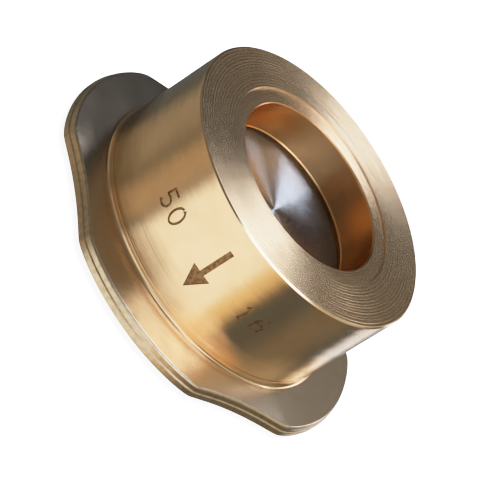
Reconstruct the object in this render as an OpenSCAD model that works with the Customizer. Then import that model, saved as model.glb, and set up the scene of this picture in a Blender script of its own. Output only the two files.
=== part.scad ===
// Wafer pattern disc check valve, DN 50, spring loaded.
// Frame: the outlet sealing face lies in z = 0, +Z is the valve axis and points at the inlet.
// Flow runs from the inlet face (top) down to the outlet face (bottom).

/* [Inlet] */
// Diameter of the inlet bore
bore_d = 49; // [40:0.5:60]
// Distance from the inlet face to the seat
inlet_length = 13.2; // [10:0.1:20]
// Radial width of the smooth ring between the bore and the gasket surface
inner_ring_w = 4.6; // [2:0.1:6]
// Depth of that smooth ring below the gasket surface
inner_ring_drop = 0.5; // [0.2:0.1:1.5]
// Edge break at the mouth of the bore
bore_edge = 0.3; // [0.1:0.1:1]

/* [Seat] */
// How far the seat lip stands into the bore
lip_step = 0.3; // [0.1:0.1:1]
// Height of the bevel under the seat lip
lip_bevel_h = 1.2; // [0.5:0.1:2]
// Radial width of the bevel under the seat lip
lip_bevel_w = 1.2; // [0.5:0.1:2]
// How far the disc reaches past the bore on the seat
seat_overlap = 4.3; // [3:0.1:6]
// Depth of the relief round the seat
relief_depth = 1.5; // [0.8:0.1:3]

/* [Disc] */
// Thickness of the disc at its rim
disc_t = 2.5; // [1.5:0.1:4]
// Chamfer on the rim of the disc
disc_chamfer = 0.3; // [0.1:0.1:0.6]
// Height of the spring boss behind the disc
boss_h = 5; // [3:0.5:9]
// Stroke of the disc from the seat to full lift
lift = 9; // [6:0.5:12]
// Radial gap between the disc and the guide ribs
guide_gap = 0.3; // [0.2:0.05:0.6]

/* [Body] */
// Radial width of the flow passage round the disc
flow_gap = 6.7; // [5:0.1:12]
// Wall of the barrel round the chamber
wall = 6; // [5:0.1:12]
// Chamfer on the inlet end of the barrel
barrel_chamfer = 0.5; // [0.2:0.1:1.5]
// Number of guide ribs, one in each quarter
ribs = 4; // [4:1:4]
// Width of a guide rib
rib_w = 6; // [4:0.5:8]

/* [Centring flange] */
// How far a lobe stands out from the barrel
lobe_reach = 12; // [10:0.5:16]
// How far the waist between two lobes stands out from the barrel
waist_reach = 7; // [5:0.5:9]
// Radius of the hollow flank between two lobes
waist_r = 60; // [40:1:90]
// Height of the outlet sealing face in front of the flange
face_raise = 1.8; // [1:0.1:3]
// Thickness of the flange at its edge
flange_t = 4.2; // [3:0.1:6]
// Rise of the flange from its edge to the foot of the neck
flange_slope = 0.3; // [0.2:0.1:1]
// Width of the outlet sealing face outside the barrel
outlet_face_w = 3; // [2:0.1:4.5]
// Fillet between the neck and the flange
neck_fillet = 1.8; // [1:0.1:3]
// Height of the plain band between the fillet and the relief groove
neck_band = 0.6; // [0.2:0.1:2]
// Width of the relief groove at the foot of the turned barrel
groove_w = 0.7; // [0.4:0.1:1.5]
// Depth of that groove
groove_depth = 0.5; // [0.2:0.1:1]

/* [Spring] */
// Diameter of the spring wire
wire_d = 1.3; // [1:0.1:1.6]
// Radial gap between the spring and the boss it sits on
spring_gap = 0.45; // [0.2:0.05:1]
// Working coils
coils = 4.5; // [3:0.5:6]
// Closed coils at each end
end_coils = 1; // [1:0.5:1.5]

/* [Retainer] */
// Thickness of the retainer's sheet
sheet_t = 1.5; // [1:0.1:2]
// Radius of the boss and of the dome inside the spring
boss_r = 10.9; // [9:0.1:13]
// Height of the dome above the spring's seat
dome_h = 5.8; // [3:0.1:8]
// Depth of the spring's seat below the top of the arms
cup_depth = 1.9; // [1:0.1:2.5]
// Width of the rim round the spring's seat
rim_w = 4; // [3:0.5:6]
// Width of an arm
arm_w = 9; // [7:0.5:11]
// Radius of the hole in the dome
dome_hole_r = 3.5; // [2:0.5:5]

/* [Retaining ring] */
// Distance from the outlet face to the ring groove
ring_setback = 2.4; // [2:0.1:5]
// Thickness of the ring
ring_t = 2.5; // [2:0.1:3]
// Radial width of the ring
ring_w = 3.9; // [3:0.1:5]
// Depth of the ring groove in the counterbore
ring_groove = 1.5; // [1:0.1:2]
// Width of the shoulder between the counterbore and the chamber
shoulder_w = 1.5; // [1:0.1:2.5]
// Play of the arms between the ring and the shoulder
arm_play = 0.2; // [0.1:0.05:0.4]
// Half of the angle that the ring leaves open
ring_open = 6; // [4:1:10]

/* [Flow arrow] */
// Length of the arrow on the barrel
arrow_l = 17; // [10:1:24]
// Width of the arrow's head
arrow_w = 6.5; // [4:0.5:10]
// Depth of the engraving
arrow_depth = 0.3; // [0.1:0.1:0.5]

/* [Hidden] */
$fn = 96;
EPS = 0.01;

// Radii, from the bore outwards
bore_r = bore_d / 2;
lip_r = bore_r - lip_step;
ring_edge_r = bore_r + inner_ring_w;
disc_r = bore_r + seat_overlap;
guide_r = disc_r + guide_gap;
chamber_r = disc_r + flow_gap;
barrel_r = chamber_r + wall;
counterbore_r = chamber_r + shoulder_w;
ring_groove_r = counterbore_r + ring_groove;
lobe_r = barrel_r + lobe_reach;
neck_r = barrel_r + waist_reach;
outlet_face_r = barrel_r + outlet_face_w;
coil_r = boss_r + spring_gap + wire_d / 2;
cup_r = coil_r + wire_d / 2 + spring_gap;
rim_r = cup_r + sheet_t + rim_w;
fit_gap = 0.1;
end_gap = 0.3;

// Heights, from the outlet face upwards
arm_z = ring_setback + ring_t;
arm_top_z = arm_z + sheet_t;
shoulder_z = arm_top_z + arm_play;
cup_z = arm_top_z - cup_depth;
dome_z = cup_z + dome_h;
boss_z = dome_z + lift;
disc_back_z = boss_z + boss_h;
seat_z = disc_back_z + disc_t;
roof_z = seat_z + relief_depth;
lip_z = seat_z + lip_bevel_h;
inlet_z = seat_z + inlet_length;
bore_top_z = inlet_z - inner_ring_drop;
flange_z = face_raise + flange_t;
flange_foot_z = flange_z + flange_slope;
neck_z = flange_foot_z + neck_fillet;
groove_z = neck_z + neck_band;

// The ribs and the arms stand at 45 degrees, so that the flow passages lie on the X and Y axes
quarter = 360 / ribs;
rib_turn = quarter / 2;
ring_gap_turn = 67;

// Turns a copy of the children to each quarter, starting at an angle
module each_quarter(start) {
    for (i = [0 : ribs - 1]) rotate(start + i * quarter) children();
}

// Outline of the centring flange: a turned circle with a hollow flank between each two lobes
module flange_outline() {
    difference() {
        circle(lobe_r);
        each_quarter(rib_turn) translate([neck_r + waist_r, 0]) circle(waist_r, $fn = 180);
    }
}

// Half section of the barrel and of the turned parts of the flange
module body_section() {
    difference() {
        union() {
            polygon([
                [0, 0], [outlet_face_r, 0], [outlet_face_r, face_raise], [barrel_r, face_raise],
                [barrel_r, inlet_z - barrel_chamfer], [barrel_r - barrel_chamfer, inlet_z], [0, inlet_z]
            ]);
            neck_section();
        }
        translate([barrel_r - groove_depth, groove_z]) square([groove_depth + EPS, groove_w]);
    }
}

// The fillet between the barrel and the flange
module neck_section() {
    difference() {
        translate([0, flange_foot_z - EPS]) square([barrel_r + neck_fillet, neck_fillet + EPS]);
        translate([barrel_r + neck_fillet, neck_z]) circle(neck_fillet);
    }
}

// Half section of all that is bored out of the body
module passage_section() {
    polygon([
        [0, -EPS], [counterbore_r, -EPS], [counterbore_r, shoulder_z], [chamber_r, shoulder_z],
        [chamber_r, roof_z], [guide_r, roof_z], [disc_r - fit_gap, seat_z], [lip_r + lip_bevel_w, seat_z],
        [lip_r, lip_z], [bore_r, lip_z + lip_step], [bore_r, bore_top_z - bore_edge],
        [bore_r + bore_edge, bore_top_z], [ring_edge_r, bore_top_z], [ring_edge_r, inlet_z + EPS],
        [0, inlet_z + EPS]
    ]);
}

// One guide rib, which the disc slides along, with its end on the retainer's arm
module guide_rib() {
    intersection() {
        translate([guide_r, -rib_w / 2, shoulder_z]) cube([flow_gap + wall, rib_w, roof_z - shoulder_z]);
        cylinder(r = chamber_r + wall / 2, h = roof_z);
    }
}

// The plate of the flange: straight sided lobes that slope up to the neck
module flange_plate() {
    intersection() {
        translate([0, 0, face_raise]) linear_extrude(flange_t + flange_slope) flange_outline();
        rotate_extrude() polygon([
            [0, face_raise], [lobe_r + EPS, face_raise], [lobe_r + EPS, flange_z],
            [barrel_r + neck_fillet, flange_foot_z], [0, flange_foot_z]
        ]);
    }
}

// Outline of the arrow, pointing along +Y
module arrow_outline() {
    polygon([
        [-arrow_w / 8, -arrow_l / 2], [arrow_w / 8, -arrow_l / 2], [arrow_w / 8, arrow_l / 2 - arrow_w],
        [arrow_w / 2, arrow_l / 2 - arrow_w], [0, arrow_l / 2], [-arrow_w / 2, arrow_l / 2 - arrow_w],
        [-arrow_w / 8, arrow_l / 2 - arrow_w]
    ]);
}

// The arrow's cutter: it points down the flow, from the inlet to the outlet
module arrow_cut() {
    translate([0, -barrel_r + arrow_depth, (groove_z + inlet_z) / 2])
        rotate([90, 0, 0]) mirror([0, 1, 0]) linear_extrude(arrow_depth + 1) arrow_outline();
}

// Forged and turned valve body, with its seat, guide ribs and centring flange
module body() {
    color([0.80, 0.62, 0.36]) difference() {
        union() {
            difference() {
                union() {
                    rotate_extrude() body_section();
                    flange_plate();
                }
                rotate_extrude() passage_section();
            }
            each_quarter(rib_turn) guide_rib();
        }
        translate([0, 0, ring_setback]) cylinder(r = ring_groove_r, h = ring_t + fit_gap);
        arrow_cut();
    }
}

// Turned disc: flat sealing face, chamfered rim, and a boss that centres the spring
module valve_disc() {
    color([0.62, 0.62, 0.60]) rotate_extrude() polygon([
        [0, boss_z], [boss_r - disc_chamfer, boss_z], [boss_r, boss_z + disc_chamfer],
        [boss_r, disc_back_z], [disc_r - disc_chamfer, disc_back_z],
        [disc_r, disc_back_z + disc_chamfer], [disc_r, seat_z - disc_chamfer],
        [disc_r - disc_chamfer, seat_z], [0, seat_z]
    ]);
}

// Height of the wire's centre after a number of turns
function wire_z(turn) =
    let (
        rise = wire_d * 1.05,
        low = cup_z + wire_d / 2,
        span = disc_back_z - cup_z - wire_d - 2 * end_coils * rise
    )
    turn < end_coils ? low + rise * turn
    : turn > end_coils + coils ? low + rise * (turn - coils) + span
    : low + rise * end_coils + span * (turn - end_coils) / coils;

// Closed coil spring between the retainer and the disc
module closing_spring() {
    steps = 20;
    sides = 8;
    turns = coils + 2 * end_coils;
    rings = floor(turns * steps);
    pts = [for (i = [0 : rings], j = [0 : sides - 1])
        let (
            a = 360 * i / steps,
            b = 360 * j / sides,
            r = coil_r + wire_d / 2 * cos(b)
        )
        [r * cos(a), r * sin(a), wire_z(i / steps) + wire_d / 2 * sin(b)]
    ];
    sweep = [for (i = [0 : rings - 1], j = [0 : sides - 1])
        let (k = (j + 1) % sides)
        [i * sides + j, i * sides + k, (i + 1) * sides + k, (i + 1) * sides + j]
    ];
    start = [for (j = [sides - 1 : -1 : 0]) j];
    end = [for (j = [0 : sides - 1]) rings * sides + j];
    color([0.70, 0.70, 0.68]) polyhedron(points = pts, faces = concat(sweep, [start, end]));
}

// Half section of the retainer: dome, spring seat and rim, pressed from one sheet
module retainer_section() {
    dome_r = boss_r;
    floor_z = cup_z - sheet_t;
    polygon([
        [dome_hole_r, dome_z - sheet_t], [dome_r - sheet_t, dome_z - sheet_t], [dome_r - sheet_t, floor_z],
        [cup_r + sheet_t, floor_z], [cup_r + sheet_t, arm_z], [rim_r, arm_z], [rim_r, arm_top_z],
        [cup_r, arm_top_z], [cup_r, cup_z], [dome_r, cup_z], [dome_r, dome_z], [dome_hole_r, dome_z]
    ]);
}

// Pressed retainer: a cup with four arms that bear on the retaining ring
module spring_retainer() {
    arm_r = counterbore_r - end_gap;
    arm_root = rim_r - rim_w / 2;
    color([0.66, 0.66, 0.64]) union() {
        rotate_extrude() retainer_section();
        intersection() {
            each_quarter(rib_turn) translate([arm_root, -arm_w / 2, arm_z]) cube([arm_r, arm_w, sheet_t]);
            cylinder(r = arm_r, h = arm_top_z + 1);
        }
    }
}

// Outline of the retaining ring, closed, before its gap is cut
module ring_outline(ring_r, inner_r, eye_r, eye_turn) {
    difference() {
        circle(ring_r);
        circle(inner_r);
    }
    for (side = [-1, 1]) rotate(side * eye_turn) translate([inner_r, 0]) circle(eye_r, $fn = 48);
}

// Internal retaining ring with two eyes for the pliers
module retaining_ring() {
    ring_r = ring_groove_r - fit_gap;
    inner_r = ring_r - ring_w;
    eye_r = ring_t * 1.05;
    eye_turn = ring_open + 0.8 * asin(eye_r / inner_r);
    gap_edge = ring_r * 1.2;
    color([0.45, 0.45, 0.44]) rotate(ring_gap_turn) translate([0, 0, ring_setback]) difference() {
        linear_extrude(ring_t) difference() {
            ring_outline(ring_r, inner_r, eye_r, eye_turn);
            polygon([
                [0, 0], [gap_edge * cos(ring_open), gap_edge * sin(ring_open)],
                [gap_edge * cos(ring_open), -gap_edge * sin(ring_open)]
            ]);
        }
        for (side = [-1, 1])
            rotate(side * eye_turn) translate([inner_r - eye_r / 4, 0, -1]) cylinder(r = eye_r / 2, h = ring_t + 2);
    }
}

body();
valve_disc();
closing_spring();
spring_retainer();
retaining_ring();
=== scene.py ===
import logging
import math
from dataclasses import dataclass, field
from enum import Enum
from functools import cache

import bpy
import numpy as np
from mathutils import Matrix, Vector


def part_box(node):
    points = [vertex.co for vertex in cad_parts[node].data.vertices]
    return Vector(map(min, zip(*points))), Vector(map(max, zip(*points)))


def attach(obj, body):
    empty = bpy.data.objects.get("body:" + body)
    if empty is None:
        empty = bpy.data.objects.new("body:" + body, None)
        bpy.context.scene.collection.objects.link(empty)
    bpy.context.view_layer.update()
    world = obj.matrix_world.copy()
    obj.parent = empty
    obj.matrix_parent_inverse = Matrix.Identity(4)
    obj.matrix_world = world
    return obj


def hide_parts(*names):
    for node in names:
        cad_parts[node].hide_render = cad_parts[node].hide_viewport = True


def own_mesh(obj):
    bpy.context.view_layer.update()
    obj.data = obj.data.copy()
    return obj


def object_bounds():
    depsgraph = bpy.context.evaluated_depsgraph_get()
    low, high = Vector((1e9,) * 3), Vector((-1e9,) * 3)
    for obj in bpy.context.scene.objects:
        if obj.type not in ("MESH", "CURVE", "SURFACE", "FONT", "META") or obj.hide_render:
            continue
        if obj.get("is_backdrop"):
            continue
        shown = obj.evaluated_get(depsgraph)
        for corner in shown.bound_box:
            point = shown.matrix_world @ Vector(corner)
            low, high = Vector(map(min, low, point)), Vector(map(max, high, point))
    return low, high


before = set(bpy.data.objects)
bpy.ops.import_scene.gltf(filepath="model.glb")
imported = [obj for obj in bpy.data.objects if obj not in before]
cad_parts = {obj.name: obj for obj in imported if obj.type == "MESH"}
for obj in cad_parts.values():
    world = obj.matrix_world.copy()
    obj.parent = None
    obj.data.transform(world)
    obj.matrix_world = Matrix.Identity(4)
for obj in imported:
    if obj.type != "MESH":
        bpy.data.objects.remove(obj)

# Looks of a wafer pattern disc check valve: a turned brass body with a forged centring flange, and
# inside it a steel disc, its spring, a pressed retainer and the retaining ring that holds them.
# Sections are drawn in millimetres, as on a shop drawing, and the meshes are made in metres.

MM = 0.001
TURN_STEPS = 600
TINY = 1e-9
CAD_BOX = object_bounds()
LOG = logging.getLogger("check_valve")


# ---------------------------------------------------------------- shader maths


class Wire:
    """A number that runs through a node tree, for use in Python expressions."""

    def __init__(self, graph: "Graph", socket: bpy.types.NodeSocket) -> None:
        """Holds a socket and the graph it belongs to.

        Args:
            graph: The graph that adds further nodes.
            socket: The output socket that carries the number.
        """
        self.graph = graph
        self.socket = socket

    def maths(self, operation: str, *others: "Wire | float", first: "Wire | float | None" = None) -> "Wire":
        """Adds one Math node.

        Args:
            operation: The Math node's operation.
            others: The operands after the first.
            first: The first operand, if it isn't this number.

        Returns:
            The node's result.
        """
        operands = (self if first is None else first, *others)
        return self.graph.wire("ShaderNodeMath", {"operation": operation}, dict(enumerate(operands)))

    def __add__(self, other: "Wire | float") -> "Wire":
        """This number plus another."""
        return self.maths("ADD", other)

    def __radd__(self, other: float) -> "Wire":
        """Another number plus this one."""
        return self.maths("ADD", self, first=other)

    def __sub__(self, other: "Wire | float") -> "Wire":
        """This number minus another."""
        return self.maths("SUBTRACT", other)

    def __rsub__(self, other: float) -> "Wire":
        """Another number minus this one."""
        return self.maths("SUBTRACT", self, first=other)

    def __mul__(self, other: "Wire | float") -> "Wire":
        """This number times another."""
        return self.maths("MULTIPLY", other)

    def __rmul__(self, other: float) -> "Wire":
        """Another number times this one."""
        return self.maths("MULTIPLY", self, first=other)

    def __abs__(self) -> "Wire":
        """This number without its sign."""
        return self.maths("ABSOLUTE")

    def smooth(self, start: "Wire | float", end: "Wire | float") -> "Wire":
        """A soft step from 0 at start to 1 at end."""
        values = {"Value": self, "From Min": start, "From Max": end}
        return self.graph.wire("ShaderNodeMapRange", {"interpolation_type": "SMOOTHSTEP"}, values)


class Arrow:
    """A vector that runs through a node tree, for use in Python expressions."""

    def __init__(self, graph: "Graph", socket: bpy.types.NodeSocket) -> None:
        """Holds a socket and the graph it belongs to.

        Args:
            graph: The graph that adds further nodes.
            socket: The output socket that carries the vector.
        """
        self.graph = graph
        self.socket = socket

    def maths(self, operation: str, other: "Arrow | tuple | None" = None) -> bpy.types.Node:
        """Adds one Vector Math node.

        Args:
            operation: The node's operation.
            other: The second vector, where the operation has one.

        Returns:
            The new node.
        """
        inputs = {0: self} if other is None else {0: self, 1: other}
        return self.graph.node("ShaderNodeVectorMath", {"operation": operation}, inputs)

    def __add__(self, other: "Arrow | tuple") -> "Arrow":
        """The sum of two vectors."""
        return Arrow(self.graph, self.maths("ADD", other).outputs[0])

    def __mul__(self, other: "Wire | float") -> "Arrow":
        """This vector times a number."""
        made = self.graph.node("ShaderNodeVectorMath", {"operation": "SCALE"}, {0: self, "Scale": other})
        return Arrow(self.graph, made.outputs[0])

    def __rmul__(self, other: "Wire | float") -> "Arrow":
        """A number times this vector."""
        return self * other

    def masked(self, mask: tuple[float, float, float]) -> "Arrow":
        """This vector with each part times a part of the mask."""
        return Arrow(self.graph, self.maths("MULTIPLY", mask).outputs[0])

    def cross(self, other: "Arrow | tuple") -> "Arrow":
        """The cross product with another vector."""
        return Arrow(self.graph, self.maths("CROSS_PRODUCT", other).outputs[0])

    def dot(self, other: "Arrow | tuple") -> Wire:
        """The dot product with another vector."""
        return Wire(self.graph, self.maths("DOT_PRODUCT", other).outputs[1])

    def unit(self) -> "Arrow":
        """This vector at length one."""
        return Arrow(self.graph, self.maths("NORMALIZE").outputs[0])

    def length(self) -> Wire:
        """The length of this vector."""
        return Wire(self.graph, self.maths("LENGTH").outputs[1])


class Graph:
    """Adds nodes to one node tree."""

    def __init__(self, tree: bpy.types.NodeTree) -> None:
        """Empties the tree that the nodes go into."""
        self.tree = tree
        tree.nodes.clear()

    def node(self, kind: str, settings: dict | None = None, inputs: dict | None = None) -> bpy.types.Node:
        """Adds one node, sets it up and connects it.

        Args:
            kind: The node's type.
            settings: Its properties, which are set first.
            inputs: A value or a link for each socket, by name or number.

        Returns:
            The new node.
        """
        made = self.tree.nodes.new(kind)
        for name, value in (settings or {}).items():
            setattr(made, name, value)
        for name, value in (inputs or {}).items():
            if isinstance(value, (Wire, Arrow)):
                self.tree.links.new(value.socket, made.inputs[name])
            elif isinstance(value, bpy.types.NodeSocket):
                self.tree.links.new(value, made.inputs[name])
            else:
                made.inputs[name].default_value = value
        return made

    def wire(
        self, kind: str, settings: dict | None = None, inputs: dict | None = None, out: str | int = 0
    ) -> Wire:
        """Adds a node and returns one of its outputs as a number."""
        return Wire(self, self.node(kind, settings, inputs).outputs[out])

    def arrow(
        self, kind: str, settings: dict | None = None, inputs: dict | None = None, out: str | int = 0
    ) -> Arrow:
        """Adds a node and returns one of its outputs as a vector."""
        return Arrow(self, self.node(kind, settings, inputs).outputs[out])

    def blend(self, share: Wire, first: "tuple | Arrow", second: "tuple | Arrow") -> Arrow:
        """Mixes two colours.

        Args:
            share: How much of the second colour shows, from 0 to 1.
            first: The colour at 0.
            second: The colour at 1.

        Returns:
            The mixed colour.
        """
        inputs = {0: share, 6: _rgba(first), 7: _rgba(second)}
        return self.arrow("ShaderNodeMix", {"data_type": "RGBA"}, inputs, out=2)

    def noise(self, place: Arrow, grain: float, detail: float = 2.0) -> Wire:
        """Cloudy noise from 0 to 1 whose patches are about grain millimetres across."""
        inputs = {"Vector": place, "Scale": 1 / (grain * MM), "Detail": detail}
        return self.wire("ShaderNodeTexNoise", {"noise_dimensions": "3D"}, inputs)

    def rings(self, lay: Wire, pitch: float, detail: float = 2.0) -> Wire:
        """Noise along one coordinate only, which gives tool marks pitch millimetres apart."""
        inputs = {"W": lay, "Scale": 1 / (pitch * MM), "Detail": detail}
        return self.wire("ShaderNodeTexNoise", {"noise_dimensions": "1D"}, inputs)


def _rgba(colour: "tuple | Arrow") -> "tuple | Arrow":
    """A colour with its fourth part, or a link as it is."""
    return colour if isinstance(colour, Arrow) else (*colour, 1.0)


# -------------------------------------------------------------------- finishes

# Noise levels between which tarnish comes in, and the roughness that full tarnish adds.
STAIN_SPAN = (0.35, 0.75)
STAIN_DULLING = 0.12
# Size of the patches over which the roughness wanders, in millimetres.
SPECKLE_GRAIN = 0.6
# How fast tool marks follow each other up a wall, against out across a flat.
LAY_UP = 1.3
# Pitch of the marks' unevenness, in marks, and how far it shifts them, in radians.
DRIFT_MARKS = 3
DRIFT_TURN = 9
# Pitch of the wider feed marks, in marks.
FEED_MARKS = 9


@dataclass(frozen=True)
class Finish:
    """A bare metal surface.

    Attributes:
        name: The material's name.
        colour: Reflected colour of the clean metal.
        stain: Reflected colour where it has tarnished.
        stain_share: How strongly the tarnish shows, from 0 to 1.
        stain_grain: Size of the tarnish's patches, in millimetres.
        roughness: Gloss of the clean metal.
        uneven: How far the roughness wanders.
        pitch: Distance between tool marks, in millimetres.
        slope: Steepness of the tool marks.
        coarse_slope: Steepness of the wider feed marks.
        grit: Steepness of the cast or blasted grain.
        grit_size: Size of that grain, in millimetres.
    """

    name: str
    colour: tuple[float, float, float]
    stain: tuple[float, float, float]
    stain_share: float = 0.3
    stain_grain: float = 7.0
    roughness: float = 0.2
    uneven: float = 0.05
    pitch: float = 0.25
    slope: float = 0.3
    coarse_slope: float = 0.0
    grit: float = 0.0
    grit_size: float = 0.5

    def build(self) -> bpy.types.Material:
        """Makes the material, or returns it if it is there already.

        Returns:
            The material.
        """
        made = bpy.data.materials.get(self.name)
        if made:
            return made
        made = bpy.data.materials.new(self.name)
        made.use_nodes = True
        graph = Graph(made.node_tree)
        place = graph.arrow("ShaderNodeTexCoord", out="Object")
        stained = graph.noise(place, self.stain_grain, 4).smooth(*STAIN_SPAN) * self.stain_share
        speckle = (graph.noise(place, SPECKLE_GRAIN, 3) - 0.5) * self.uneven
        inputs = {
            "Base Color": graph.blend(stained, self.colour, self.stain),
            "Metallic": 1.0,
            "Roughness": self.roughness + stained * STAIN_DULLING + speckle,
            "Normal": self.surface(graph, place),
        }
        shader = graph.node("ShaderNodeBsdfPrincipled", inputs=inputs)
        graph.node("ShaderNodeOutputMaterial", inputs={"Surface": shader.outputs[0]})
        return made

    def surface(self, graph: Graph, place: Arrow) -> Arrow:
        """Tilts the surface by its tool marks, which run round the valve's axis, and by its grain.

        Args:
            graph: The material's graph.
            place: The place on the object.

        Returns:
            The tilted normal.
        """
        normal = graph.arrow("ShaderNodeNewGeometry", out="Normal")
        flat = place.masked((1, 1, 0))
        around = place.cross((0, 0, 1)).unit()
        across = around.cross(normal)
        lay = flat.length() + place.dot((0, 0, 1)) * LAY_UP
        uneven = graph.rings(lay, self.pitch * DRIFT_MARKS, 1) * DRIFT_TURN
        drift = uneven + lay * (math.tau / (self.pitch * MM))
        wobble = drift.maths("SINE") * self.slope
        if self.coarse_slope:
            wobble = wobble + (graph.rings(lay, self.pitch * FEED_MARKS, 1) - 0.5) * self.coarse_slope
        tilted = normal + across * wobble
        if self.grit:
            inputs = {"Vector": place, "Scale": 1 / (self.grit_size * MM), "Detail": 3.0}
            cloud = graph.arrow("ShaderNodeTexNoise", {"noise_dimensions": "3D"}, inputs, out="Color")
            tilted = tilted + (cloud + (-0.5, -0.5, -0.5)) * self.grit
        return tilted.unit()


BRASS = (0.87, 0.60, 0.33)
BRASS_STAIN = (0.62, 0.36, 0.17)
STEEL = (0.39, 0.41, 0.42)
STEEL_STAIN = (0.3, 0.305, 0.3)

BARREL = Finish(
    "turned_brass_barrel", BRASS, BRASS_STAIN, 0.25, 9.0, 0.14, pitch=0.3, slope=0.13, coarse_slope=0.1
)
FACE = Finish("faced_brass", (0.87, 0.63, 0.38), BRASS_STAIN, 0.15, 9.0, 0.2, pitch=0.22, slope=0.28)
# Bored brass: the same alloy as the barrel, but coloured a deeper orange, which is painted reflection of the
# brass walls round it.
BORE = Finish("bored_brass_painted_reflection", (0.86, 0.48, 0.19), (0.6, 0.27, 0.08), 0.35, 6.0, 0.2, pitch=0.3, slope=0.1)
CHAMBER = Finish("chamber_brass", (0.8, 0.54, 0.29), (0.42, 0.26, 0.13), 0.6, 5.0, 0.36, slope=0.1, grit=0.25)
FLANGE = Finish(
    "forged_brass", (0.77, 0.63, 0.46), (0.54, 0.43, 0.31), 0.4, 6.0, 0.2,
    slope=0.05, grit=0.03, grit_size=2.0,
)
# Forged rim: partly its own duller forged skin, partly painted shade, as its colour is darker than the brass
# above it to stand in for the dimmer light on the lobes' edges.
EDGE = Finish("forged_edge_painted_shade", (0.62, 0.47, 0.28), (0.36, 0.26, 0.15), 0.6, 1.5, 0.3, slope=0.03, grit=0.14)
ENGRAVED = Finish(
    "engraved_brass", (0.3, 0.17, 0.07), (0.1, 0.055, 0.025), 0.8, 1.0, 0.5, slope=0.05, grit=0.3
)
DISC = Finish("turned_disc_steel", STEEL, STEEL_STAIN, 0.2, 8.0, 0.19, pitch=0.2, slope=0.5)
WIRE = Finish("spring_steel", (0.56, 0.55, 0.53), STEEL_STAIN, 0.4, 3.0, 0.24, slope=0.03, grit=0.08)
SHEET = Finish(
    "pressed_sheet_steel", (0.58, 0.57, 0.55), (0.4, 0.39, 0.37), 0.35, 8.0, 0.3, slope=0.03, grit=0.12
)
DARK = Finish("phosphated_steel", (0.2, 0.19, 0.18), (0.1, 0.09, 0.085), 0.6, 2.5, 0.42, slope=0.05, grit=0.2)


# ---------------------------------------------------------------------- meshes


class Outline(Enum):
    """A plan shape that a section can follow, by the place of its share in a section's row."""

    FLANGE = 2
    RIBS = 3
    ARMS = 4


@dataclass(frozen=True)
class Corner:
    """One corner of a turned section, in millimetres.

    Attributes:
        r: Distance from the axis.
        z: Height above the outlet face.
        finish: Finish of the surface from here to the next corner.
        soft: Size of the edge break or fillet at the corner.
        shape: Plan shape that the corner follows, or none for a circle.
        cuts: Number of strips up to the next corner.
        grooves: Number of gasket grooves up to the next corner.
    """

    r: float
    z: float
    finish: Finish
    soft: float = 0.1
    shape: Outline | None = None
    cuts: int = 1
    grooves: int = 0

    def row(self) -> np.ndarray:
        """The corner's radius, height and share of each plan shape."""
        shares = [float(self.shape is kind) for kind in Outline]
        return np.array([self.r, self.z, *shares])


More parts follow.
